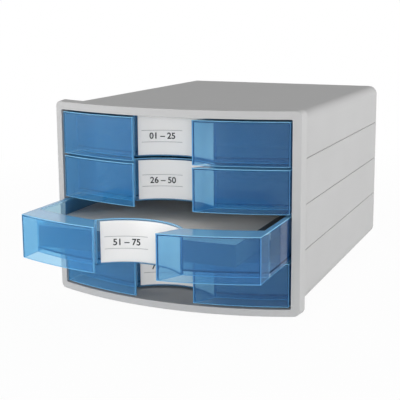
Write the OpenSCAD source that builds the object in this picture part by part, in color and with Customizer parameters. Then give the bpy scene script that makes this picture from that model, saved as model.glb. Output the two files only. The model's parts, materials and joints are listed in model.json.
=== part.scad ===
// Desktop drawer box for A4 and C4 sheets: a housing with a bowed front frame
// and four translucent drawers with hollow wing grips and a curved label recess.
// X to the right, Y into the depth, Z up; the origin lies on the table under
// the middle of the housing.

/* [Drawers] */
// width of a drawer
drawer_w = 269.2; // [240:0.2:320]
// height of a drawer and of its front
drawer_h = 47.4; // [42:0.2:70]
// gap between one drawer and the next
drawer_gap = 2.6; // [2.2:0.1:6]
// wall thickness of a drawer
drawer_t = 2; // [1.4:0.1:3]
// height of the drawer floor above the lower edge
floor_up = 4; // [2:0.5:8]
// width of the rim along the sides and the back
rim_w = 6; // [3:0.5:10]
// thickness of the rim and of the wing tops
rim_t = 2.2; // [1.4:0.1:3]
// corner radius at the back of a drawer
drawer_r = 5; // [3:0.5:12]
// how far the front wings stand in front of the inner wall
wing_d = 27; // [20:0.5:34]
// how far the wings lie behind the frame's face
wing_back = 1; // [0:0.1:3]
// width of the grip between the wings at the face
grip_w = 66; // [50:1:100]
// width of the grip at the inner wall
grip_in_w = 98; // [80:1:130]
// radius of the concave recess wall
recess_r = 66.6; // [60:0.2:120]
// thickness of the recess' bottom ledge
ledge_t = 1.2; // [0.8:0.1:2]
// depth of the recess' bottom ledge
ledge_d = 2.4; // [1.6:0.1:4]
// how far a drawer opens
travel = 250; // [200:1:260]
// how far the third drawer stands open
open_3 = 87; // [0:1:200]
// length of the stop
stop_l = 10; // [6:0.5:16]
// height of the stop
stop_h = 12; // [8:0.5:16]
// height of the stop's lower face above the drawer's lower edge
stop_up = 15; // [12:0.5:20]

/* [Labels] */
// thickness of a label card
card_t = 0.5; // [0.3:0.1:0.8]
// how far a card's top lies below the drawer's top
card_down = 2.2; // [1:0.1:6]
// width of a label card over its chord
card_w = 90; // [76:1:92]

/* [Housing] */
// wall thickness of the housing
wall = 2.5; // [2:0.1:3.5]
// radius of the long upper edges
top_r = 11; // [6:0.5:16]
// radius of the long lower edges
bottom_r = 12; // [8:0.5:13]
// distance from the rounded lower edges to the base panel
base_in = 8; // [4:0.5:50]
// width of the base panel's lap on each side
lap_w = 4; // [3:0.5:8]
// width of the outside grooves
groove_w = 1.6; // [1:0.1:2.4]
// height of a groove above the lower edge of its drawer
groove_up = 5; // [2:0.5:10]
// thickness of the rear panel
rear_t = 2.5; // [2:0.1:4]
// depth of the inner lip that the rear panel rests against
lip_d = 2; // [1:0.5:3]
// height of the inner lip
lip_h = 1.5; // [1:0.1:1.8]

/* [Front frame] */
// how far the frame's face bows forward in the middle
front_bow = 29.8; // [10:0.2:40]
// thickness of the frame
frame_t = 12; // [9:0.5:16]
// outer corner radius of the frame
frame_r = 7; // [5:0.5:16]
// corner radius of the opening
mouth_r = 1.5; // [0.5:0.1:4]
// face width at the sides
face_side = 10.2; // [9:0.1:16]
// face height at the top
face_top = 9.9; // [8:0.1:16]
// face height at the bottom
face_bottom = 9; // [8.8:0.1:14]
// gap between a drawer and the opening at each side
side_gap = 2.2; // [1.2:0.1:3]
// gap between the drawers and the opening above and below
end_gap = 2.2; // [1.5:0.1:4]
// how far the frame stands proud of the housing at the sides
proud_side = 5; // [3:0.1:6]
// how far the frame stands proud of the housing at the top
proud_top = 4.2; // [2:0.1:6]
// depth of the collar that locates the frame in the housing
collar_d = 8; // [4:0.5:12]
// thickness of the collar
collar_t = 1.8; // [1.2:0.1:2]

/* [Rails] */
// thickness of a rail
rail_t = 1.8; // [1.2:0.1:2]
// width of a rail's ledge
rail_w = 9; // [6:0.5:12]
// height of a rail's web above its ledge
web_h = 9; // [6:0.5:11]
// length of the end stop
rear_stop = 4; // [3:0.5:8]
// gap between the frame's collar and the front ends of the rails
rail_back = 2; // [1:0.5:6]

/* [Feet] */
// distance from the table to the frame
foot_gap = 6; // [4:0.5:12]
// diameter of a rubber foot
foot_d = 18; // [12:1:30]
// thickness of a rubber foot
foot_t = 5; // [3:0.5:8]
// depth of the seat for a foot
seat_d = 1; // [0.5:0.1:2]
// wall of the boss round a foot
boss_t = 3; // [2:0.5:6]
// distance of a foot's middle from the base panel's side edge
foot_in = 24; // [24:1:60]
// distance of a foot's middle from the front corner plane and from the back
foot_y = 36; // [25:1:80]

/* [Sheets] */
// width of the sheets in the open drawer
sheet_w = 229; // [210:1:229]
// length of the longest sheet that a drawer takes
sheet_l = 324; // [297:1:340]
// height of the stack in the open drawer
sheet_h = 23; // [2:1:30]

/* [Clearances] */
// running clearance above a rail
run_fit = 0.3; // [0.2:0.05:0.6]
// clearance between housing pieces
fit = 0.2; // [0.1:0.05:0.4]
// clearance round a label card
card_fit = 0.2; // [0.1:0.05:0.4]
// clearance of the sheets
sheet_fit = 0.6; // [0.3:0.1:1.5]
// clearance of a closed or fully open drawer to its stop
stop_fit = 0.5; // [0.3:0.1:1]
// clearance between a drawer's side stops and the housing
stop_side = 1.2; // [0.8:0.1:1.4]

/* [Hidden] */
$fn = 96;
bow_fn = 360;
drawer_n = 4;
eps = 0.01;
far = 1000;

pitch = drawer_h + drawer_gap;
open_w = drawer_w + 2 * side_gap;
open_h = drawer_n * pitch - drawer_gap + 2 * end_gap;
frame_w = open_w + 2 * face_side;
frame_h = open_h + face_top + face_bottom;
body_w = frame_w - 2 * proud_side;
in_w = body_w - 2 * wall;

z_frame = foot_gap;
z_open = z_frame + face_bottom;
z_body = z_open - wall;
z_top = z_frame + frame_h - proud_top;
card_h = drawer_h - ledge_t - card_down;
base_w = body_w - 2 * (bottom_r + base_in);
foot_x = base_w / 2 - foot_in;

// radii of the bowed faces, and where they lie behind the frame's corner plane
bow_r = (pow(frame_w / 2, 2) + pow(front_bow, 2)) / (2 * front_bow);
body_r = bow_r - frame_t;
collar_r = body_r - collar_d;
wing_r = bow_r - wing_back;
wall_r = wing_r - wing_d;
function behind(r, x) = bow_r - front_bow - sqrt(pow(r, 2) - pow(x, 2));

// the grip recess: slanted ends of the wings, then an arc
end_back = behind(wall_r, grip_in_w / 2);
slant = atan((grip_in_w - grip_w) / 2 / (end_back - behind(wing_r, grip_w / 2)));
arc_back = end_back - sqrt(pow(recess_r, 2) - pow(grip_in_w / 2, 2));

// lengths: the recess, the sheets and the rear stops fill the depth
sheet_back = arc_back + recess_r + drawer_t + sheet_fit;
drawer_l = sheet_back + sheet_l + sheet_fit + drawer_t;
depth = drawer_l + stop_fit + rear_stop + fit + lip_d + rear_t;

y_front = -depth / 2;
y_rear = depth / 2;
bow_y = y_front - front_bow + bow_r;
end_y = y_front + end_back;
recess_y = y_front + arc_back;
tray_y = y_front + drawer_l;
collar_y = y_front + behind(collar_r, in_w / 2);
rail_y0 = collar_y + rail_back;
rail_y1 = y_rear - rear_t - lip_d - fit;

// the side stops reach past the frame's opening
stop_out = (in_w - drawer_w) / 2 - stop_side;

housing_grey = [0.78, 0.78, 0.77];
rail_grey = [0.62, 0.62, 0.62];
clear_blue = [0.25, 0.52, 0.78, 0.6];
card_white = [0.93, 0.93, 0.93];
sheet_grey = [0.5, 0.49, 0.48];
rubber_grey = [0.2, 0.2, 0.2];

function drawer_z(k) = z_open + end_gap + (drawer_n - k) * pitch;

// ---- profiles ----

// rectangle on the Z axis of the drawing, with its own radius above and below
module rounded(w, z0, z1, ra, rb) {
  translate([-w / 2 + rb, z0]) square([w - 2 * rb, z1 - z0]);
  translate([-w / 2, z0 + rb]) square([w, z1 - z0 - ra - rb]);
  translate([-w / 2 + ra, z0 + rb]) square([w - 2 * ra, z1 - z0 - rb]);
  for (s = [-1, 1]) {
    translate([s * (w / 2 - ra), z1 - ra]) circle(r = ra);
    translate([s * (w / 2 - rb), z0 + rb]) circle(r = rb);
  }
}

// the housing's cross-section, d inside its outer face
module body2d(d) {
  rounded(body_w - 2 * d, z_body + d, z_top - d, top_r - d, bottom_r - d);
}

// pushes a cross-section along Y
module along(y0, y1) {
  translate([0, y1, 0]) rotate([90, 0, 0]) linear_extrude(height = y1 - y0) children();
}

// everything behind the bowed surface of radius r
module bowed(r) {
  translate([0, bow_y, z_frame - 1]) cylinder(r = r, h = frame_h + 2, $fn = bow_fn);
}

// ---- housing ----

module housing_shell() {
  color(housing_grey) difference() {
    intersection() {
      union() {
        along(y_front - front_bow, y_rear) difference() {
          body2d(0);
          body2d(wall);
        }
        along(y_rear - rear_t - lip_d, y_rear - rear_t) difference() {
          body2d(wall / 2);
          body2d(wall + lip_h);
        }
        for (s = [-1, 1]) low_rib(s);
      }
      bowed(body_r);
    }
    // the opening for the base panel, with a lap on each side
    along(y_front - front_bow - 1, y_rear + 1) base2d(fit);
    for (k = [1 : drawer_n - 1], s = [-1, 1])
      translate([s * body_w / 2, 0, drawer_z(k) + groove_up]) rotate([0, 45, 0])
        cube([groove_w / sqrt(2), 2 * depth, groove_w / sqrt(2)], center = true);
  }
}

// rib for the lowest drawer, with its rear stop
module low_rib(s) {
  z1 = drawer_z(drawer_n) - run_fit;
  intersection() {
    union() {
      along(rail_y0, rail_y1) translate([s * drawer_w / 2 - rim_w / 2, z_body])
        square([rim_w, z1 - z_body]);
      along(tray_y + stop_fit, tray_y + stop_fit + rear_stop)
        translate([s * drawer_w / 2 - rim_w / 2, z_body]) square([rim_w, z1 - z_body + web_h]);
    }
    along(rail_y0 - 1, rail_y1 + 1) body2d(wall / 2);
  }
}

// the base panel's cross-section, g wider on each side
module base2d(g) {
  translate([-base_w / 2 - g, z_body + wall / 2]) square([base_w + 2 * g, wall / 2]);
  translate([-base_w / 2 + lap_w - g, z_body - eps])
    square([base_w - 2 * lap_w + 2 * g, wall / 2 + 2 * eps]);
}

module base_panel() {
  color(housing_grey) difference() {
    union() {
      intersection() {
        along(y_front - front_bow, y_rear) intersection() {
          base2d(0);
          body2d(0);
        }
        bowed(body_r);
      }
      at_feet() translate([0, 0, foot_t - seat_d])
        cylinder(d = foot_d + 2 * boss_t, h = z_body + wall / 2 - foot_t + seat_d);
    }
    at_feet() translate([0, 0, foot_t - seat_d - 1]) cylinder(d = foot_d + 2 * fit, h = seat_d + 1);
  }
}

module at_feet() {
  for (s = [-1, 1], y = [y_front + foot_y, y_rear - foot_y]) translate([s * foot_x, y, 0]) children();
}

module rear_panel() {
  color(housing_grey) along(y_rear - rear_t, y_rear) body2d(wall + fit);
}

// ---- front frame ----

module front_frame() {
  color(housing_grey) {
    difference() {
      intersection() {
        along(y_front - front_bow - 1, y_front + frame_t + 1)
          rounded(frame_w, z_frame, z_frame + frame_h, frame_r, frame_r);
        bowed(bow_r);
      }
      bowed(body_r);
      mouth();
    }
    // collar inside the housing, above the rounded lower edges
    difference() {
      intersection() {
        along(y_front - front_bow, rail_y0) difference() {
          body2d(wall + fit);
          body2d(wall + fit + collar_t);
          translate([-body_w, z_body - 1]) square([2 * body_w, 2 * bottom_r + 1]);
        }
        bowed(body_r);
      }
      bowed(collar_r);
    }
  }
}

module mouth() {
  along(y_front - front_bow - 2, y_front + 2 * frame_t)
    rounded(open_w, z_open, z_open + open_h, mouth_r, mouth_r);
}

// ---- rails ----

module rail(k, s) {
  z1 = drawer_z(k) - run_fit;
  x1 = in_w / 2;
  color(rail_grey) mirror([s < 0 ? 1 : 0, 0, 0]) {
    along(rail_y0, rail_y1) {
      translate([x1 - rail_w, z1 - rail_t]) square([rail_w, rail_t]);
      translate([x1 - rail_t, z1 - rail_t]) square([rail_t, rail_t + web_h]);
    }
    along(tray_y + stop_fit, tray_y + stop_fit + rear_stop)
      translate([x1 - rail_w, z1 - rail_t]) square([rail_w, rail_t + web_h]);
  }
}

module rail_left_1() rail(1, -1);
module rail_left_2() rail(2, -1);
module rail_left_3() rail(3, -1);
module rail_right_1() rail(1, 1);
module rail_right_2() rail(2, 1);
module rail_right_3() rail(3, 1);

// ---- feet ----

module foot(sx, sy) {
  color(rubber_grey) translate([sx * foot_x, sy < 0 ? y_front + foot_y : y_rear - foot_y, 0])
    cylinder(d = foot_d, h = foot_t);
}

module foot_front_left() foot(-1, -1);
module foot_front_right() foot(1, -1);
module foot_rear_left() foot(-1, 1);
module foot_rear_right() foot(1, 1);

// ---- drawers: plan shapes ----

// the grip recess, grown by g
module grip2d(g) {
  x = grip_in_w / 2 + g / cos(slant);
  run = 3 * wing_d;
  polygon([[-x, end_y], [x, end_y], [x - run * tan(slant), end_y - run],
    [-x + run * tan(slant), end_y - run]]);
  intersection() {
    translate([0, recess_y]) circle(r = recess_r + g, $fn = bow_fn);
    translate([-far / 2, end_y - eps]) square([far, far]);
  }
}

// a drawer's outline, d inside its walls, with front radius r
module plan2d(d, r) {
  intersection() {
    translate([0, bow_y]) circle(r = r - d, $fn = bow_fn);
    translate([0, -far]) rounded(drawer_w - 2 * d, 0, far + tray_y - d, drawer_r - min(d, drawer_r - 1), 1);
  }
}

module walled2d(d) {
  difference() {
    plan2d(d, wing_r);
    grip2d(d);
  }
}

// the part of a drawer behind its inner wall
module behind2d(r) {
  translate([0, bow_y]) circle(r = r, $fn = bow_fn);
}

module tray() {
  // outer walls, wings and recess wall
  linear_extrude(height = drawer_h) difference() {
    walled2d(0);
    walled2d(drawer_t);
  }
  // floor
  translate([0, 0, floor_up]) linear_extrude(height = drawer_t) intersection() {
    walled2d(drawer_t / 2);
    behind2d(wall_r + drawer_t);
  }
  // inner front wall
  linear_extrude(height = drawer_h) intersection() {
    walled2d(drawer_t / 2);
    difference() {
      behind2d(wall_r + drawer_t);
      behind2d(wall_r);
    }
  }
  // tops of the wings
  translate([0, 0, drawer_h - rim_t]) linear_extrude(height = rim_t) difference() {
    walled2d(0);
    behind2d(wall_r);
  }
  // rim along the sides and the back
  translate([0, 0, drawer_h - rim_t]) linear_extrude(height = rim_t) difference() {
    intersection() {
      walled2d(0);
      behind2d(wall_r + drawer_t);
    }
    plan2d(rim_w, far);
  }
  // ledge under the card
  linear_extrude(height = ledge_t) arc2d(recess_r + drawer_t / 2, recess_r - ledge_d);
  // stops that meet the frame's collar when the drawer is fully open
  for (s = [-1, 1]) translate([s * (drawer_w + stop_out - drawer_t / 2) / 2,
      collar_y + travel + stop_fit + stop_l / 2, stop_up + stop_h / 2])
    cube([stop_out + drawer_t / 2, stop_l, stop_h], center = true);
}

// a band of the recess' arc between two radii
module arc2d(ra, rb) {
  intersection() {
    difference() {
      translate([0, recess_y]) circle(r = ra, $fn = bow_fn);
      translate([0, recess_y]) circle(r = rb, $fn = bow_fn);
    }
    translate([-far / 2, end_y]) square([far, far]);
    grip2d(drawer_t / 2);
  }
}

module at_drawer(k) {
  translate([0, k == 3 ? -open_3 : 0, drawer_z(k)]) children();
}

module drawer_1() color(clear_blue) at_drawer(1) tray();
module drawer_2() color(clear_blue) at_drawer(2) tray();
module drawer_3() color(clear_blue) at_drawer(3) tray();
module drawer_4() color(clear_blue) at_drawer(4) tray();

// ---- label cards and sheets ----

module card(k) {
  color(card_white) at_drawer(k) translate([0, 0, ledge_t]) linear_extrude(height = card_h)
    intersection() {
      arc2d(recess_r - card_fit, recess_r - card_fit - card_t);
      square([card_w, far], center = true);
    }
}

module label_card_1() card(1);
module label_card_2() card(2);
module label_card_3() card(3);
module label_card_4() card(4);

module sheet_stack() {
  color(sheet_grey) at_drawer(3)
    translate([-drawer_w / 2 + drawer_t + sheet_fit, y_front + sheet_back, floor_up + drawer_t])
      cube([sheet_w, sheet_l, sheet_h]);
}

housing_shell();
base_panel();
rear_panel();
front_frame();
rail_left_1();
rail_left_2();
rail_left_3();
rail_right_1();
rail_right_2();
rail_right_3();
foot_front_left();
foot_front_right();
foot_rear_left();
foot_rear_right();
drawer_1();
drawer_2();
drawer_3();
drawer_4();
label_card_1();
label_card_2();
label_card_3();
label_card_4();
sheet_stack();
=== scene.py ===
"""Looks of a desktop drawer box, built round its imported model.

The housing, base, rear panel, rails, feet and sheets keep their own solids and get their
finish here. The front frame, the trays and the label cards are surfaces worked out below,
in the places of the solids that they stand for, and the print on the cards is added.
Lengths are in metres, with X to the right, Y into the depth, Z up and the table at zero.
"""

import json
import math

import bpy
import numpy as np
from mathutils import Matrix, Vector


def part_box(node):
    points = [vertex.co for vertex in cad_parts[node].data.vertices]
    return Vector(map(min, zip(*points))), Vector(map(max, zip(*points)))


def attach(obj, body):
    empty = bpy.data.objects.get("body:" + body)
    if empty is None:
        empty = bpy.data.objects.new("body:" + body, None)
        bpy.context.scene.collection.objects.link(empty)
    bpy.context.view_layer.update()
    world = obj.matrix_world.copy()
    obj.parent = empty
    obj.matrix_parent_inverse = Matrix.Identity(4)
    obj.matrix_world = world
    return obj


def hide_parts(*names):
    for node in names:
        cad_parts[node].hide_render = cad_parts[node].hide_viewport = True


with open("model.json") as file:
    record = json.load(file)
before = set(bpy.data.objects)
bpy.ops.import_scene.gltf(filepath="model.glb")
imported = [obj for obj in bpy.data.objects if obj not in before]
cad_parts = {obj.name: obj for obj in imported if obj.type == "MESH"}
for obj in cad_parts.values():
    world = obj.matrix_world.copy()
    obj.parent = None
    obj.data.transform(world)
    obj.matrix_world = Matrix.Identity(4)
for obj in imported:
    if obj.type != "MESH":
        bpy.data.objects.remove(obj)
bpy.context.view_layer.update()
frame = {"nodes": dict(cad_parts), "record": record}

MM = 0.001
DRAWERS = (1, 2, 3, 4)

# the bowed front: half the frame's width, how far it bows, and the radius that follows
FRAME_LOW, FRAME_HIGH = (np.array(corner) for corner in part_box("front_frame"))
HALF_W = FRAME_HIGH[0]
FRONT_BOW = 29.8 * MM
BOW_R = (HALF_W**2 + FRONT_BOW**2) / (2 * FRONT_BOW)
BOW_Y = FRAME_LOW[1] + BOW_R

# front frame: its depth, its outer corners, the widths of its face, the opening's corners,
# the rounding of the face's outer and inner edges, and the draft of its outer side
FRAME_T = 12 * MM
FRAME_R = 7 * MM
FACE_SIDE = 10.2 * MM
FACE_TOP = 9.9 * MM
FACE_BOTTOM = 9 * MM
MOUTH_R = 1.5 * MM
OUTER_EDGE_R = 0.8 * MM
MOUTH_EDGE_R = 0.6 * MM
DRAFT = 1.2 * MM
STEPS_WIDE = 72
STEPS_TALL = 8
EDGE_STEPS = 6

# collar behind the frame: its depth and thickness, how far it lies inside the housing's outer
# faces, where it starts above their lower edge, and how far it reaches into the frame
COLLAR_D = 8 * MM
COLLAR_T = 1.8 * MM
COLLAR_IN = 2.7 * MM
COLLAR_UP = 24 * MM
COLLAR_LAP = 0.8 * MM
COLLAR_STEPS = 42
HOUSING_R = 11 * MM

# grooves in the housing's sides, one beside each of the upper three drawers, and how many
# times as deep as a groove a point has to lie to be past it
GROOVE_W = 1.6 * MM
GROOVE_D = GROOVE_W / 2
PAST_GROOVE = 1.2
GROOVE_UP = 5 * MM
GROOVES = [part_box(f"drawer_{k}")[0].z + GROOVE_UP for k in DRAWERS[:3]]

# trays: their size, walls and floor, the rear corners, the plan's other corners, and the
# rounding along the walls' upper and lower edges
TRAY_W = 269.2 * MM
TRAY_H = 47.4 * MM
TRAY_T = 2 * MM
HALF_TRAY = TRAY_W / 2
HALF_T = TRAY_T / 2
FLOOR_UP = 4 * MM
TRAY_R = 5 * MM
CORNER_R = 1.3 * MM
EDGE_R = 0.7 * MM
FOOT_R = 0.5 * MM

# rim and wing tops: how far the rim reaches in, its thickness and rounding, and how far both
# lie under the top of the walls, so that no two faces coincide
RIM_W = 6 * MM
RIM_T = 2.2 * MM
RIM_CORNER_R = 1.2 * MM
RIM_LOW_R = 0.4 * MM
RIM_TOP_R = 0.5 * MM
SEAM = 0.03 * MM

# wings: the radii of their fronts and inner walls, and the grip's width at each of the two
WING_R = BOW_R - 1 * MM
WALL_R = WING_R - 27 * MM
GRIP_W = 66 * MM
GRIP_IN_W = 98 * MM

# recess, and the ledge in it: its thickness, reach, shortened ends and raised underside
RECESS_R = 66.6 * MM
RECESS_STEPS = 61
LEDGE_T = 1.2 * MM
LEDGE_D = 2.4 * MM
LEDGE_SHORT = 1.5 * MM
LEDGE_UP = 0.02 * MM

# side stops: their size, their height above the tray's underside, and how far from its back
STOP = np.array((3.7, 10, 12)) * MM
STOP_UP = 15 * MM
STOP_BACK = 74.5 * MM

# painted highlight on the trays, kept in the face attribute edge: its shares for rounded edges,
# narrow upright faces and flat tops, the greatest width of a narrow face, how close to the
# tray's top a flat top lies, and the leans up to which a face is upright, from which it is
# rounded, and from which it is flat
HIGHLIGHT_SHARES = (1.0, 0.55, 0.75)
NARROW = 1 * MM
NEAR_TOP = 0.2 * MM
UPRIGHT_LEAN = 0.1
ROUNDED_LEAN = 0.12
FLAT_LEAN = 0.99

# label cards, and half the angle that a card spans in the recess
CARD_T = 0.5 * MM
CARD_W = 90 * MM
CARD_H = 44 * MM
CARD_FIT = 0.2 * MM
CARD_REACH = math.asin(CARD_W / 2 / RECESS_R)

# the print's middle and its ruled lines, as shares of a card's width and height
PRINT_MIDDLE = 0.275
PRINT_LINES = (0.325, 0.62)
LINE_HALF_LENGTH = 0.233
LINE_HALF_WIDTH = 0.0055

# the numbers on the cards: their size, boldness, and how far they stand out
NUMBERS = ("01 \u2013 25", "26 \u2013 50", "51 \u2013 75", "76 \u2013 99")
NUMBER_SIZE = 9.6 * MM
NUMBER_BOLD = 0.2 * MM
NUMBER_PROUD = 0.02 * MM

# angle between two faces, in degrees, from which their edge stays sharp
CREASE = 35

# lamps: the place, the point they face, the length of a side, and the power in watts
LAMPS = {
    "front_lamp": ((0.9, -2.4, 0.25), (0, -0.1, 0.1), 0.9, 34),
    "left_lamp": ((-2.1, -1.6, 0.7), (0, -0.1, 0.1), 1.2, 34),
    "side_lamp": ((2.5, 0.8, 0.6), (0, -0.1, 0.1), 1.4, 48),
    "back_lamp": ((-1.4, 2.6, 0.3), (0, 0, 0.1), 1.2, 26),
}

# room: its even light, half the floor's width, the share of light that the floor gives back,
# and the share of the shadow on it that shows, which falls from one distance to another
AMBIENT = 0.33
FLOOR_HALF = 6
FLOOR_TONE = 0.94
SHADOW_SHARE = 0.04
SHADOW_FALLS = 0.5
SHADOW_ENDS = 1.0


# ---- meshes ----


def mesh_from(name, points, faces):
    """A mesh from an array of points and a list of faces that point outwards."""
    mesh = bpy.data.meshes.new(name)
    mesh.from_pydata(points.tolist(), [], faces)
    mesh.validate()
    mesh.update()
    return mesh


def read(elements, what, width=1, kind=np.float32):
    """A value for each of a mesh's elements, or a row of values where width is more than 1."""
    values = np.empty(len(elements) * width, kind)
    elements.foreach_get(what, values)
    return values.reshape(-1, width) if width > 1 else values


def place_points(mesh, points):
    """Puts a mesh's points where the rows of an array say."""
    mesh.vertices.foreach_set("co", points.astype(np.float32).ravel())
    mesh.update()


def settled(holder):
    """The mesh of an object with its modifiers or text worked out."""
    bpy.context.view_layer.update()
    graph = bpy.context.evaluated_depsgraph_get()
    return bpy.data.meshes.new_from_object(holder.evaluated_get(graph))


def signed_volume(points, faces):
    """Six times the volume inside faces[n, corner].

    Each face is cut into a fan of triangles a, b, c from its first corner, and it is the sum
    of their triple products a . (b x c).
    """
    corners = points[faces]
    return (corners[:, :1] * np.cross(corners[:, 1:-1], corners[:, 2:])).sum()


def grid_solid(grid, closed=True):
    """Points and faces of a closed skin over grid[u, v].

    It wraps round in v, and in u too if it is closed. An open grid gets a flat cap at both
    ends of u. All faces turn round together where they enclose a negative volume.
    """
    n_u, n_v = grid.shape[:2]
    points = grid.reshape(-1, 3)
    index = np.arange(n_u * n_v).reshape(n_u, n_v)
    here = index if closed else index[:-1]
    after = np.roll(index, -1, axis=0) if closed else index[1:]
    ring = (here, np.roll(here, -1, axis=1), np.roll(after, -1, axis=1), after)
    groups = [np.stack(ring, axis=-1).reshape(-1, 4)]
    if not closed:
        groups += [index[:1, ::-1], index[-1:]]
    if sum(signed_volume(points, group) for group in groups) < 0:
        groups = [group[:, ::-1] for group in groups]
    return points, [face for group in groups for face in group.tolist()]


def arc(centre, radius, start, end, count):
    """Points on a circle, centre + radius * (cos, sin), from one angle to another in degrees."""
    turn = np.radians(np.linspace(start, end, count))
    return np.array(centre) + radius * np.column_stack((np.cos(turn), np.sin(turn)))


def rounded_rectangle(left, right, low, high, r_low, r_high, count=5):
    """A closed profile in (out, up) with quarter circles at its corners."""
    return np.concatenate((
        arc((left + r_low, low + r_low), r_low, 180, 270, count),
        arc((right - r_low, low + r_low), r_low, 270, 360, count),
        arc((right - r_high, high - r_high), r_high, 0, 90, count),
        arc((left + r_high, high - r_high), r_high, 90, 180, count),
    ))


def unit(vectors):
    """Each row divided by its length."""
    return vectors / np.linalg.norm(vectors, axis=1)[:, None]


def mitres(path, closed):
    """For each point of a plan path, the outward offset that moves both its edges by one unit.

    With n and m as the normals of the edges before and after the point, it is
    (n + m) / (1 + n . m). Outward is to the left of the path's direction.
    """
    edges = np.roll(path, -1, axis=0) - path
    if not closed:
        edges[-1] = edges[-2]
    after = unit(edges)[:, ::-1] * (-1, 1)
    before = np.roll(after, 1, axis=0)
    if not closed:
        before[0] = after[0]
    return (before + after) / (1 + (before * after).sum(axis=1))[:, None]


def carried(path, profile, closed=True):
    """A profile in (out, up) carried along a plan path.

    Its point in plan is the path's point + out * the mitre there, and up is its height.
    """
    plan = path[:, None] + profile[None, :, :1] * mitres(path, closed)[:, None]
    up = np.broadcast_to(profile[None, :, 1:], (*plan.shape[:2], 1))
    return grid_solid(np.concatenate((plan, up), axis=2), closed)


def slab(front, back, low, high):
    """A flat plate between two plan curves with the same number of points, from low to high."""
    edges = ((front, low), (front, high), (back, high), (back, low))
    rows = [np.column_stack((curve, np.full(len(curve), z))) for curve, z in edges]
    return grid_solid(np.stack(rows, axis=1), closed=False)


def filleted(path, radius, sharp=25, count=5):
    """The closed path with a small arc at each corner that turns by more than sharp degrees.

    With d and e as the directions before and after a corner and t as its turn, the arc's
    centre lies radius / cos(t / 2) from the corner along e - d. Its ends lie on both edges,
    radius * tan(t / 2) from the corner. With start and end as the ways from the centre to
    them, its points are centre + (sin((1 - s) t) start + sin(s t) end) / sin(t), for s from
    0 to 1.
    """
    before = unit(path - np.roll(path, 1, axis=0))
    after = np.roll(before, -1, axis=0)
    turn = np.arccos(np.clip((before * after).sum(axis=1), -1, 1))
    cornered = turn > math.radians(sharp)
    points, before, after = path[cornered], before[cornered], after[cornered]
    swept = turn[cornered, None]
    reach = radius * np.tan(swept / 2)
    centre = points + unit(after - before) * radius / np.cos(swept / 2)
    start = (points - before * reach - centre)[:, None]
    end = (points + after * reach - centre)[:, None]
    step = np.linspace(0, 1, count)[:, None]
    angle = swept[:, None]
    bent = (start * np.sin((1 - step) * angle) + end * np.sin(step * angle)) / np.sin(angle)
    repeats = np.where(cornered, count, 1)
    rounded = np.repeat(path, repeats, axis=0)
    rounded[np.repeat(cornered, repeats)] = (centre[:, None] + bent).reshape(-1, 2)
    return rounded


def mirrored(solid):
    """The same solid on the other side of X = 0, with its faces turned outwards again."""
    points, faces = solid
    return points * (-1, 1, 1), [face[::-1] for face in faces]


def united(name, solids):
    """One mesh round several closed solids that reach into each other."""
    parts = [bpy.data.objects.new(name + "_part", mesh_from(name, *solid)) for solid in solids]
    base, *others = parts
    group = bpy.data.collections.new(name + "_parts")
    for part in others:
        group.objects.link(part)
    bpy.context.scene.collection.objects.link(base)
    bpy.context.scene.collection.children.link(group)
    union = base.modifiers.new("union", "BOOLEAN")
    union.operation = "UNION"
    union.operand_type = "COLLECTION"
    union.collection = group
    union.solver = "EXACT"
    mesh = settled(base)
    mesh.name = name
    for part in parts:
        bpy.data.objects.remove(part)
    bpy.data.collections.remove(group)
    return mesh


def piece(name, mesh, finish, body, stands_for=()):
    """Shows a mesh as a piece of the object: smooth but for its creases, on its body."""
    mesh.polygons.foreach_set("use_smooth", np.ones(len(mesh.polygons), bool))
    mesh.set_sharp_from_angle(angle=math.radians(CREASE))
    mesh.materials.clear()
    mesh.materials.append(finish)
    shown = bpy.data.objects.new(name, mesh)
    bpy.context.scene.collection.objects.link(shown)
    even = shown.modifiers.new("even_normals", "WEIGHTED_NORMAL")
    even.keep_sharp = True
    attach(shown, body)
    if stands_for:
        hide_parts(*stands_for)


# ---- shader maths ----


class Field:
    """A value that varies over a surface. Arithmetic on it adds Math nodes."""

    def __init__(self, finish, socket):
        self.finish = finish
        self.socket = socket

    def math(self, operation, first, *others):
        inputs = dict(enumerate((first, *others)))
        return self.finish.add("ShaderNodeMath", {"operation": operation}, inputs)[0]

    def __add__(self, other):
        return self.math("ADD", self, other)

    def __sub__(self, other):
        return self.math("SUBTRACT", self, other)

    def __rsub__(self, other):
        return self.math("SUBTRACT", other, self)

    def __mul__(self, other):
        return self.math("MULTIPLY", self, other)

    def __abs__(self):
        return self.math("ABSOLUTE", self)

    __radd__ = __add__
    __rmul__ = __mul__

    def below(self, limit):
        """1 where the value is less than the limit, and 0 elsewhere."""
        return self.math("LESS_THAN", self, limit)

    def at_least(self, other):
        """The value, or the other one where that is greater."""
        return self.math("MAXIMUM", self, other)

    def at_most(self, other):
        """The value, or the other one where that is less."""
        return self.math("MINIMUM", self, other)

    def within(self, low, high):
        """The value, held between two limits."""
        return self.at_least(low).at_most(high)


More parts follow.
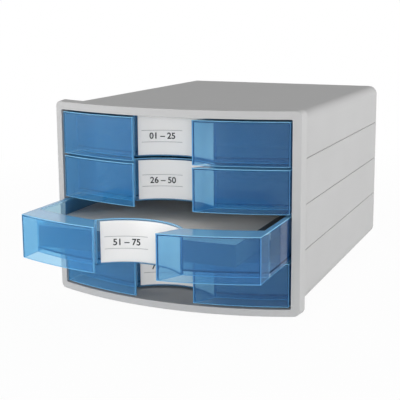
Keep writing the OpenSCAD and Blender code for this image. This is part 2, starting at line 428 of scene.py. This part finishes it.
class Finish:
    """A material or a world being made. add() places one node and gives its outputs."""

    def __init__(self, name, owner=None):
        self.owner = owner or bpy.data.materials.new(name)
        self.owner.use_nodes = True
        self.tree = self.owner.node_tree
        self.tree.nodes.clear()

    def add(self, kind, settings=None, inputs=None):
        """Places a node with its settings, and gives its sockets their values or links.

        The outputs can be asked for by their number or their name.
        """
        node = self.tree.nodes.new(kind)
        for name, value in (settings or {}).items():
            setattr(node, name, value)
        for name, value in (inputs or {}).items():
            if isinstance(value, Field):
                self.tree.links.new(value.socket, node.inputs[name])
            else:
                node.inputs[name].default_value = value
        numbered = enumerate(node.outputs)
        return {key: Field(self, out) for place, out in numbered for key in (place, out.name)}

    def place(self):
        """Where a point lies, as X, Y and Z in metres."""
        return self.add("ShaderNodeTexCoord")["Object"]

    def split(self, vector):
        """The X, Y and Z of a vector."""
        return self.add("ShaderNodeSeparateXYZ", {}, {0: vector})

    def noise(self, scale, detail=2, stretch=(1, 1, 1)):
        """Noise from 0 to 1, with scale as its cells per metre."""
        mapped = self.add("ShaderNodeMapping", {}, {"Vector": self.place(), "Scale": stretch})[0]
        inputs = {"Vector": mapped, "Scale": scale, "Detail": detail}
        return self.add("ShaderNodeTexNoise", {}, inputs)[0]

    def mix(self, share, first, second):
        """A colour between two others: first * (1 - share) + second * share.

        A Mix node's colours are its sockets 6 and 7, and its mixed colour is its output 2.
        """
        inputs = {"Factor": share, 6: first, 7: second}
        return self.add("ShaderNodeMix", {"data_type": "RGBA"}, inputs)[2]

    def bump(self, height, distance, strength):
        """A normal that leans with a height, which stands for distance metres where it is 1."""
        inputs = {"Height": height, "Distance": distance, "Strength": strength}
        return self.add("ShaderNodeBump", {}, inputs)[0]

    def principled(self, inputs):
        """A Principled shader with its sockets' values or links."""
        return self.add("ShaderNodeBsdfPrincipled", {}, inputs)[0]

    def between(self, share, first, second):
        """A shader between two others."""
        return self.add("ShaderNodeMixShader", {}, {0: share, 1: first, 2: second})[0]

    def surface(self, shader):
        """Ends the material in its shader."""
        self.add("ShaderNodeOutputMaterial", {}, {"Surface": shader})
        return self.owner


def colour(red, green, blue):
    """A colour for a socket, from sRGB numbers up to 255."""
    srgb = np.array((red, green, blue)) / 255
    linear = np.where(srgb <= 0.04045, srgb / 12.92, ((srgb + 0.055) / 1.055) ** 2.4)
    return (*linear.tolist(), 1)


def grey(level):
    """A neutral colour for a socket."""
    return colour(level, level, level)


def even_tone(level):
    """A neutral colour for a socket, as the share of light that it gives back."""
    return (level, level, level, 1)


# ---- finishes ----


# tones of the light grey mouldings as sRGB numbers, and how far a tone drifts either way
HOUSING_TONE = 186
RAIL_TONE = 168
TONE_DRIFT = 3
# painted shade: the grey that the housing's grooves darken to at their bottoms
GROOVE_SHADE_GREY = grey(138)

# clear blue plastic: its tint, its body from left to right, paler on the left and deeper on
# the right as painted shade, its pale body at edges as painted highlight, how much the body's
# blue deepens for each metre to the right as painted shade, what it lets through of the lamps'
# light, how it bends light, and its share of body, with how much that falls for each metre to
# the right as painted shade and grows at the edges as painted highlight
CLEAR_TINTS = (colour(207, 245, 255), colour(211, 247, 255))
BODY_BLUES_LIT_SHADED = (colour(72, 182, 255), colour(38, 126, 222))
HIGHLIGHT_BLUE = colour(150, 218, 255)
RIGHTWARD_BLUE_SHADE = 3.5
LAMP_TINT = colour(198, 208, 213)
PLASTIC_IOR = 1.59
BODY_SHARE = 0.145
RIGHTWARD_BODY_SHADE = 0.28
HIGHLIGHT_GAIN = 0.65

# the two ends that each other finish drifts between, and the ruled lines on the cards
CARD_WHITES = (colour(245, 243, 240), colour(250, 248, 245))
RULED_GREY = grey(150)
INK_BLACKS = (colour(18, 18, 20), colour(28, 28, 30))
SHEET_FACES = (colour(246, 237, 226), colour(250, 243, 233))
# painted shade: the sheets' upright sides, far darker than their face
SHEET_SIDE_SHADES = (colour(112, 110, 108), colour(146, 143, 140))
RUBBER_BLACKS = (grey(34), grey(50))


def groove_shade_share(finish, side):
    """Painted shade: 0 on the housing's sides, rising to 1 at the bottom of their grooves.

    It is (side - |x|) / the grooves' depth, where z lies within a groove. The wall's inner
    face lies further in than the grooves are deep, and is left out.
    """
    place = finish.split(finish.place())
    inside = (side - abs(place["X"])) * (1 / GROOVE_D)
    sunk = inside.within(0, 1) * inside.below(PAST_GROOVE)
    return sunk * sum(abs(place["Z"] - height).below(GROOVE_W / 2) for height in GROOVES)


def moulded_grey(name, tone, rough, side=None):
    """Light grey moulding: a fine spark-eroded grain, with a faint drift in tone and gloss.

    Where a side is given, its grooves get painted shade, darker towards their bottoms.
    """
    finish = Finish(name)
    drift = finish.noise(14)
    shade = finish.mix(drift, grey(tone - TONE_DRIFT), grey(tone + TONE_DRIFT))
    if side is not None:
        # painted shade, deepening towards the bottoms of the grooves
        shade = finish.mix(groove_shade_share(finish, side), shade, GROOVE_SHADE_GREY)
    return finish.surface(finish.principled({
        "Base Color": shade,
        "Roughness": drift * 0.1 + rough,
        "Specular IOR Level": 0.3,
        "Normal": finish.bump(finish.noise(1600, detail=3), distance=0.06 * MM, strength=0.5),
    }))


def clear_blue(name):
    """Clear blue moulding: tinted glass with a share of blue body in it.

    The share is a base share less a fall for each metre of x, which is painted shade towards
    the right, with up to a set gain more where the attribute edge marks painted highlight. The
    body's blue deepens towards the right, by 0.5 + a slope times x, as painted shade as well.
    Light from the lamps goes through dimmed and nearly without colour.
    """
    finish = Finish(name)
    drift = finish.noise(9)
    # painted highlight: the share that each face of the tray was marked with
    edge = finish.add("ShaderNodeAttribute", {"attribute_name": "edge"})["Fac"]
    across = finish.split(finish.place())["X"]
    clear = finish.principled({
        "Base Color": finish.mix(drift, *CLEAR_TINTS),
        "Roughness": 0.03,
        "IOR": PLASTIC_IOR,
        "Transmission Weight": 1.0,
    })
    # painted shade: the body's blue deepens towards the right
    blue = finish.mix(across * RIGHTWARD_BLUE_SHADE + 0.5, *BODY_BLUES_LIT_SHADED)
    body = finish.principled({
        "Base Color": finish.mix(edge, blue, HIGHLIGHT_BLUE),
        "Roughness": 0.15,
        "IOR": PLASTIC_IOR,
    })
    # painted highlight at marked edges, and painted shade as the share falls towards the right
    share = edge * HIGHLIGHT_GAIN + (BODY_SHARE - across * RIGHTWARD_BODY_SHADE)
    filled = finish.between(share, clear, body)
    lit = finish.add("ShaderNodeBsdfTransparent", {}, {"Color": LAMP_TINT})[0]
    lamp_ray = finish.add("ShaderNodeLightPath")["Is Shadow Ray"]
    return finish.surface(finish.between(lamp_ray, filled, lit))


def card_white(name):
    """Smooth white card with two thin ruled lines, which lie by the card's own map."""
    finish = Finish(name)
    place = finish.split(finish.add("ShaderNodeUVMap", {"uv_map": "card"})[0])
    fibre = finish.noise(900, detail=4)
    ruled = sum(abs(place["Y"] - height).below(LINE_HALF_WIDTH) for height in PRINT_LINES)
    printed = ruled * abs(place["X"] - PRINT_MIDDLE).below(LINE_HALF_LENGTH)
    paper = finish.mix(fibre, *CARD_WHITES)
    return finish.surface(finish.principled({
        "Base Color": finish.mix(printed, paper, RULED_GREY),
        "Roughness": fibre * 0.1 + 0.5,
        "Normal": finish.bump(fibre, distance=0.02 * MM, strength=0.4),
    }))


def ink(name):
    """Dull black print."""
    finish = Finish(name)
    shade = finish.mix(finish.noise(1200), *INK_BLACKS)
    return finish.surface(finish.principled({"Base Color": shade, "Roughness": 0.6}))


def sheet_paper(name):
    """Pale sheets that lie in the box's shade: a fibrous face, and painted shade on their sides.

    The face is where the normal's Z is over 0.5. The upright sides are painted much darker than
    the face, as painted shade, with fine lines where the sheets lie on each other. The lines are
    noise pressed flat in Z.
    """
    finish = Finish(name)
    cloud = finish.noise(18, detail=4)
    layers = finish.noise(60, stretch=(0.2, 0.2, 60))
    upright = finish.split(finish.add("ShaderNodeNewGeometry")["Normal"])["Z"].below(0.5)
    face = finish.mix(cloud, *SHEET_FACES)
    # painted shade on the upright sides, with the sheets' layer lines
    shaded_sides = finish.mix(layers, *SHEET_SIDE_SHADES)
    return finish.surface(finish.principled({
        "Base Color": finish.mix(upright, face, shaded_sides),
        "Roughness": cloud * 0.1 + 0.6,
        "Normal": finish.bump(layers, distance=0.1 * MM, strength=0.4),
    }))


def rubber(name):
    """Dull dark rubber with a faint bloom."""
    finish = Finish(name)
    bloom = finish.noise(220, detail=3)
    return finish.surface(finish.principled({
        "Base Color": finish.mix(bloom, *RUBBER_BLACKS),
        "Roughness": bloom * 0.15 + 0.7,
        "Normal": finish.bump(bloom, distance=0.1 * MM, strength=0.3),
    }))


HOUSING = moulded_grey("moulded_grey", HOUSING_TONE, rough=0.6)
# the housing's shell, with painted shade in its grooves
GROOVE_SHADED = moulded_grey("groove_shaded_grey", HOUSING_TONE, rough=0.6, side=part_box("housing_shell")[1].x)
RAIL = moulded_grey("rail_grey", RAIL_TONE, rough=0.5)
CLEAR_BLUE = clear_blue("clear_blue")
CARD = card_white("card_white")
INK = ink("card_ink")
SHEETS = sheet_paper("sheet_paper")
RUBBER = rubber("foot_rubber")

SLOT_FINISHES = {
    "housing": HOUSING,
    "rail": RAIL,
    "foot": RUBBER,
    "drawer": CLEAR_BLUE,
    "card": CARD,
    "sheets": SHEETS,
}
for part in frame["record"]["subparts"]:
    node = part["node"]
    node_mesh = frame["nodes"][node].data
    node_mesh.materials.clear()
    slot_finish = SLOT_FINISHES[part["material_slot"]]
    node_mesh.materials.append(GROOVE_SHADED if node == "housing_shell" else slot_finish)


# ---- front frame ----


def bowed(x, radius):
    """How far back a bowed surface lies at x: the bow's centre - sqrt(radius^2 - x^2)."""
    return BOW_Y - np.sqrt(radius**2 - x**2)


def pressed(outline, depth):
    """Points in (x, z) put on the bow, some depth behind the face: bowed(x, BOW_R - depth)."""
    return np.column_stack((outline[:, 0], bowed(outline[:, 0], BOW_R - depth), outline[:, 1]))


def rectangle_path(x_half, low, high, radius, count=7):
    """A rounded rectangle's outline in (x, z), with even steps along its straight sides."""
    corners = []
    for sx, sz, start in ((1, 1, 0), (-1, 1, 90), (-1, -1, 180), (1, -1, 270)):
        centre = (sx * (x_half - radius), (high - radius) if sz > 0 else (low + radius))
        corners.append(arc(centre, radius, start, start + 90, count))
    path = []
    for side, (here, after) in enumerate(zip(corners, corners[1:] + corners[:1])):
        steps = (STEPS_WIDE, STEPS_TALL)[side % 2]
        between = np.linspace(0, 1, steps + 1)[1:-1, None]
        path += [here, here[-1] + (after[0] - here[-1]) * between]
    return np.concatenate(path)


def frame_solid():
    """The front frame: its cross-section carried round the opening and pressed onto the bow.

    Each point of the cross-section lies at a distance from the outer edge or from the
    opening's edge, along the line between the two, and at a depth behind the face.
    """
    low, high = FRAME_LOW[2], FRAME_HIGH[2]
    outer = rectangle_path(HALF_W, low, high, FRAME_R)
    inner = rectangle_path(HALF_W - FACE_SIDE, low + FACE_BOTTOM, high - FACE_TOP, MOUTH_R)
    across = unit(outer - inner)
    turn = np.radians(np.linspace(0, 90, EDGE_STEPS))
    sunk, risen = 1 - np.sin(turn), 1 - np.cos(turn)
    rows = [(outer, -DRAFT - OUTER_EDGE_R * s, OUTER_EDGE_R * r) for s, r in zip(sunk, risen)]
    rows += [(outer, 0, FRAME_T), (inner, 0, FRAME_T)]
    rows += [(inner, MOUTH_EDGE_R * r, MOUTH_EDGE_R * s) for s, r in zip(sunk, risen)]
    grid = [pressed(edge + across * away, depth) for edge, away, depth in rows]
    return grid_solid(np.stack(grid, axis=1))


def collar_solid():
    """The collar behind the frame: a band up one side, over the top and down the other.

    Its cross-section reaches inwards by its thickness, and back from just inside the frame
    to its own depth behind the frame's rear face, pressed onto the bow.
    """
    shell_low, shell_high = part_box("housing_shell")
    side, top = shell_high.x - COLLAR_IN, shell_high.z - COLLAR_IN
    corner = HOUSING_R - COLLAR_IN
    foot = np.array(((side, shell_low.z + COLLAR_UP),))
    right = np.concatenate((foot, arc((side - corner, top - corner), corner, 0, 90, count=9)))
    across = np.linspace(side - corner, corner - side, COLLAR_STEPS)[1:-1]
    over = np.column_stack((across, np.full(len(across), top)))
    outer = np.concatenate((right, over, right[::-1] * (-1, 1)))
    inner = outer + COLLAR_T * mitres(outer, closed=False)
    near, far = FRAME_T - COLLAR_LAP, FRAME_T + COLLAR_D
    rows = ((outer, near), (outer, far), (inner, far), (inner, near))
    return grid_solid(np.stack([pressed(*row) for row in rows], axis=1), closed=False)


frame_mesh = united("front_frame", [frame_solid(), collar_solid()])
piece("bowed_frame", frame_mesh, HOUSING, "housing", ["front_frame"])


# ---- trays ----


# the corner where the slanted end of the right wing meets the recess, at the inner wall, and
# the centre of the recess' arc, which passes through that corner on both sides
GRIP_X = GRIP_IN_W / 2
GRIP_Y = bowed(GRIP_X, WALL_R)
RECESS_CENTRE = np.array((0, GRIP_Y - math.sqrt(RECESS_R**2 - GRIP_X**2)))

# the middle line of the side walls, and the section of a wall across its middle line
SIDE_X = HALF_TRAY - HALF_T
WALL = rounded_rectangle(-HALF_T, HALF_T, 0, TRAY_H, FOOT_R, EDGE_R)


def bow_arc(radius, x_start, x_end, count):
    """Plan points along a bowed wall: x in even steps, and y = bowed(x, radius)."""
    x = np.linspace(x_start, x_end, count)
    return np.column_stack((x, bowed(x, radius)))


def recess_arc(radius, x_start, x_end, count=RECESS_STEPS):
    """Plan points along the recess' arc, by even angles: centre + radius * (sin, cos)."""
    turn = np.linspace(math.asin(x_start / radius), math.asin(x_end / radius), count)
    return RECESS_CENTRE + radius * np.column_stack((np.sin(turn), np.cos(turn)))


def recess_bar(radii, x_half, heights):
    """A curved bar in the recess, between two radii and two heights, as wide on both sides."""
    return slab(*(recess_arc(radius, -x_half, x_half) for radius in radii), *heights)


def tray_skirt(tray_y):
    """The outer walls: the wall's section carried round the whole plan, just inside it.

    The plan is the back, a side, a wing's front, its slanted end, the recess, and the same
    mirrored.
    """
    back = arc((HALF_TRAY - TRAY_R, tray_y - TRAY_R), TRAY_R, 90, 0, count=8)
    front = bow_arc(WING_R, HALF_TRAY, GRIP_W / 2, count=36)
    right = np.concatenate((back, front, ((GRIP_X, GRIP_Y),)))
    recess = recess_arc(RECESS_R, GRIP_X, -GRIP_X)[1:-1]
    outline = np.concatenate((right, recess, right[::-1] * (-1, 1)))
    return carried(filleted(outline, CORNER_R), WALL + (-HALF_T, 0))


def inner_wall():
    """The right wing's inner wall, from the side to the recess."""
    path = bow_arc(WALL_R + HALF_T, SIDE_X, GRIP_X + HALF_T, count=40)
    return carried(path, WALL, closed=False)


def tray_floor(tray_y):
    """The floor, from the inner walls and the recess to the back."""
    left = bow_arc(WALL_R + HALF_T, -SIDE_X, -GRIP_X - HALF_T, count=20)
    recess = recess_arc(RECESS_R + HALF_T, -GRIP_X, GRIP_X)
    front = np.concatenate((left, recess, left[::-1] * (-1, 1)))
    x_back = np.linspace(TRAY_R - HALF_TRAY, HALF_TRAY - TRAY_R, len(front))
    back = np.column_stack((x_back, np.full(len(front), tray_y - HALF_T)))
    return slab(front, back, FLOOR_UP, FLOOR_UP + TRAY_T)


def wing_top():
    """The right wing's flat top, from its front wall to its inner wall."""
    front = bow_arc(WING_R - HALF_T, SIDE_X, GRIP_W / 2 + HALF_T, count=30)
    back = bow_arc(WALL_R + HALF_T, SIDE_X, GRIP_X + HALF_T, count=30)
    return slab(front, back, TRAY_H - RIM_T, TRAY_H - SEAM)


def tray_rim(tray_y):
    """The rim along the sides and the back: a bar carried along its own inner edge."""
    x, y = HALF_TRAY - RIM_W, tray_y - RIM_W
    corner = arc((x - RIM_CORNER_R, y - RIM_CORNER_R), RIM_CORNER_R, 0, 90, count=6)
    right = np.concatenate((((x, bowed(x, WALL_R + HALF_T)),), corner))
    path = np.concatenate((right * (-1, 1), right[::-1]))
    low, high = TRAY_H - RIM_T, TRAY_H - SEAM
    section = rounded_rectangle(0, RIM_W - HALF_T, low, high, RIM_LOW_R, RIM_TOP_R)
    return carried(path, section, closed=False)


def card_ledge():
    """The ledge under the card, from inside the recess' wall to in front of it."""
    radii = (RECESS_R + HALF_T, RECESS_R - LEDGE_D)
    return recess_bar(radii, GRIP_X - LEDGE_SHORT, (LEDGE_UP, LEDGE_T))


def side_stop(tray_y):
    """The block on the right side that meets the frame's collar when the drawer is out."""
    y = tray_y - STOP_BACK
    front = np.array(((SIDE_X, y), (HALF_TRAY + STOP[0], y)))
    return slab(front, front + (0, STOP[1]), STOP_UP, STOP_UP + STOP[2])


def tray_solids(tray_y):
    """The closed solids of a tray whose back lies at tray_y."""
    wall, top, stop = inner_wall(), wing_top(), side_stop(tray_y)
    return [
        tray_skirt(tray_y),
        wall,
        mirrored(wall),
        tray_floor(tray_y),
        top,
        mirrored(top),
        tray_rim(tray_y),
        card_ledge(),
        stop,
        mirrored(stop),
    ]


def mark_highlights(mesh):
    """Marks each face of a tray with its share of painted highlight, in the attribute edge.

    Rounded edges take most, then the flat tops, and then narrow upright faces. A face's
    lean is the upright part of its normal: 0 for an upright face, and 1 for a flat one.
    """
    lean = np.abs(read(mesh.polygons, "normal", 3)[:, 2])
    first = read(mesh.polygons, "loop_start", kind=np.int32)
    corner = read(mesh.loops, "vertex_index", kind=np.int32)
    around = read(mesh.vertices, "co", 3)[corner]
    lowest = np.minimum.reduceat(around, first)
    width = np.linalg.norm((np.maximum.reduceat(around, first) - lowest)[:, :2], axis=1)
    rounded = (lean > ROUNDED_LEAN) & (lean < FLAT_LEAN)
    narrow = (lean < UPRIGHT_LEAN) & (width < NARROW)
    flat_top = (lean > FLAT_LEAN) & (lowest[:, 2] > TRAY_H - NEAR_TOP)
    edge = np.select((rounded, narrow, flat_top), HIGHLIGHT_SHARES, 0.0).astype(np.float32)
    mesh.attributes.new("edge", "FLOAT", "FACE").data.foreach_set("value", edge)


tray_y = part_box("drawer_1")[1].y
tray_mesh = united("tray", tray_solids(tray_y))
# painted highlight: each face gets its share in the attribute edge
mark_highlights(tray_mesh)
tray_points = read(tray_mesh.vertices, "co", 3)
for k in DRAWERS:
    low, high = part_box(f"drawer_{k}")
    mesh = tray_mesh.copy()
    place_points(mesh, tray_points + (0, high.y - tray_y, low.z))
    piece(f"tray_{k}", mesh, CLEAR_BLUE, f"drawer_{k}", [f"drawer_{k}"])


# ---- label cards ----


def add_card_map(mesh, low):
    """Gives a card its own map, both ways from 0 to 1.

    It goes across the card by the angle round the recess, asin(x / RECESS_R), and up it by
    height.
    """
    points = read(mesh.vertices, "co", 3)
    corner = read(mesh.loops, "vertex_index", kind=np.int32)
    turn = np.arcsin(np.clip(points[:, 0] / RECESS_R, -1, 1))
    across = turn / CARD_REACH / 2 + 0.5
    up = (points[:, 2] - low) / CARD_H
    spread = np.column_stack((across, up))[corner].astype(np.float32)
    mesh.uv_layers.new(name="card").data.foreach_set("uv", spread.ravel())


def card_mesh(name, low, back_by):
    """A card from low upwards, in the recess of a drawer that lies back_by behind the first."""
    radii = (RECESS_R - CARD_FIT - CARD_T, RECESS_R - CARD_FIT)
    points, faces = recess_bar(radii, CARD_W / 2, (low, low + CARD_H))
    mesh = mesh_from(name, points + (0, back_by, 0), faces)
    add_card_map(mesh, low)
    return mesh


def number_mesh(name, text, low, back_by):
    """Printed numbers bent to the face of a card that stands as in card_mesh.

    A point's x becomes an angle round the recess, x / the face's radius, and its y a height.
    """
    curve = bpy.data.curves.new(name, "FONT")
    curve.body = text
    curve.size = NUMBER_SIZE
    curve.offset = NUMBER_BOLD
    curve.align_x = "CENTER"
    curve.align_y = "CENTER"
    curve.extrude = NUMBER_PROUD
    line = bpy.data.objects.new(name, curve)
    bpy.context.scene.collection.objects.link(line)
    mesh = settled(line)
    bpy.data.objects.remove(line)
    x, y, z = read(mesh.vertices, "co", 3).T
    face_r = RECESS_R - CARD_FIT - CARD_T
    turn = x / face_r + (PRINT_MIDDLE - 0.5) * 2 * CARD_REACH
    height = y + low + CARD_H * sum(PRINT_LINES) / 2
    centre_y = RECESS_CENTRE[1] + back_by
    radius = face_r - z
    bent = (radius * np.sin(turn), centre_y + radius * np.cos(turn), height)
    place_points(mesh, np.column_stack(bent))
    return mesh


for k, numbers in zip(DRAWERS, NUMBERS):
    low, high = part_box(f"drawer_{k}")
    card_low, back_by = low.z + LEDGE_T, high.y - tray_y
    card = card_mesh(f"card_{k}", card_low, back_by)
    piece(f"card_{k}", card, CARD, f"drawer_{k}", [f"label_card_{k}"])
    print_on_it = number_mesh(f"print_{k}", numbers, card_low, back_by)
    piece(f"print_{k}", print_on_it, INK, f"drawer_{k}")


# ---- room, lamps and camera ----


def seen_by_eye(path):
    """1 for rays that reach the eye straight or through clear plastic, with no dull bounce."""
    through = path["Is Transmission Ray"] * path["Diffuse Depth"].below(0.5)
    return path["Is Camera Ray"].at_least(through)


def floor_finish():
    """Pale floor that shows nearly white to the eye, and white all the way further out.

    Near the object it takes a faint share of the shadow. Mirrored in the object it is pale
    behind, to the left and along a soft strip in front, and dark elsewhere: the greatest of
    2 y + 0.4, up to 0.6 and times 1 - 3 x; 0.55 - 1.6 |x + 0.15|; -0.9 x - 0.15, up to 0.4;
    and 0.08.
    """
    finish = Finish("pale_floor")
    path = finish.add("ShaderNodeLightPath")
    place = finish.split(finish.place())
    behind = (place["Y"] * 2 + 0.4).at_most(0.6) * (1 - place["X"] * 3).within(0.15, 1)
    strip = 0.55 - abs(place["X"] + 0.15) * 1.6
    leftward = (place["X"] * -0.9 - 0.15).at_most(0.4)
    pale = behind.at_least(strip).at_least(leftward).at_least(0.08)
    tone = finish.mix(path["Is Glossy Ray"] * (1 - pale), even_tone(FLOOR_TONE), even_tone(0))
    matt = finish.add("ShaderNodeBsdfDiffuse", {}, {"Color": tone})[0]
    away = finish.add("ShaderNodeVectorMath", {"operation": "LENGTH"}, {0: finish.place()})
    gained = (away["Value"] - SHADOW_FALLS) * (SHADOW_SHARE / (SHADOW_ENDS - SHADOW_FALLS))
    shown = gained.within(0, SHADOW_SHARE) + (1 - SHADOW_SHARE)
    white = finish.add("ShaderNodeEmission", {}, {"Color": even_tone(1), "Strength": 1.0})[0]
    return finish.surface(finish.between(seen_by_eye(path) * shown, matt, white))


def pale_floor():
    """A flat square floor under the object."""
    corners = np.array(((-1, -1, 0), (1, -1, 0), (1, 1, 0), (-1, 1, 0)))
    floor_mesh = mesh_from("floor", corners * FLOOR_HALF, [[0, 1, 2, 3]])
    floor_mesh.materials.append(floor_finish())
    floor = bpy.data.objects.new("floor", floor_mesh)
    bpy.context.scene.collection.objects.link(floor)


def studio_world():
    """A white room to the eye that gives the object an even low light.

    Mirrored in the object it is darker in front and to the right: with x and y of the
    direction, 3 (y + 0.35), from 0.12 to 1, times 0.7 - 1.5 x, from 0.15 to 1.
    """
    world = bpy.data.worlds.new("studio")
    bpy.context.scene.world = world
    finish = Finish("studio", world)
    path = finish.add("ShaderNodeLightPath")
    towards = finish.split(finish.add("ShaderNodeTexCoord")["Generated"])
    behind = ((towards["Y"] + 0.35) * 3).within(0.12, 1)
    leftward = (0.7 - towards["X"] * 1.5).within(0.15, 1)
    white = seen_by_eye(path).at_least(path["Is Glossy Ray"] * (behind * leftward))
    inputs = {"Color": even_tone(1), "Strength": white * (1 - AMBIENT) + AMBIENT}
    room = finish.add("ShaderNodeBackground", {}, inputs)[0]
    finish.add("ShaderNodeOutputWorld", {}, {"Surface": room})


def soft_lamp(name, place, aim, size, power):
    """A square soft lamp that faces a point and isn't seen in gloss or through clear plastic.

    With x, y and z as the way to the point, it is tipped up from facing straight down by
    atan2(length of (x, y), -z), and turned from +Y by atan2(-x, y).
    """
    lamp = bpy.data.lights.new(name, "AREA")
    lamp.size = size
    lamp.energy = power
    stand = bpy.data.objects.new(name, lamp)
    stand.visible_glossy = False
    stand.visible_transmission = False
    bpy.context.scene.collection.objects.link(stand)
    x, y, z = np.array(aim) - np.array(place)
    stand.location = place
    stand.rotation_euler = (math.atan2(math.hypot(x, y), -z), 0, math.atan2(-x, y))


def camera(place, yaw, pitch, lens, shift):
    """The camera, turned by yaw from +Y towards -X and tipped down by pitch, in radians."""
    data = bpy.data.cameras.new("camera")
    data.lens = lens
    data.shift_x, data.shift_y = shift
    data.clip_start = 0.05
    stand = bpy.data.objects.new("camera", data)
    stand.location = place
    stand.rotation_euler = (math.pi / 2 - pitch, 0, yaw)
    bpy.context.scene.collection.objects.link(stand)
    bpy.context.scene.camera = stand


bpy.context.scene.view_settings.view_transform = "Standard"
pale_floor()
studio_world()
for name, lamp in LAMPS.items():
    soft_lamp(name, *lamp)
camera(
    place=(0.4108, -1.041, 0.327),
    yaw=0.3739,
    pitch=0.1718,
    lens=79.91,
    shift=(-0.09, -0.09),
)
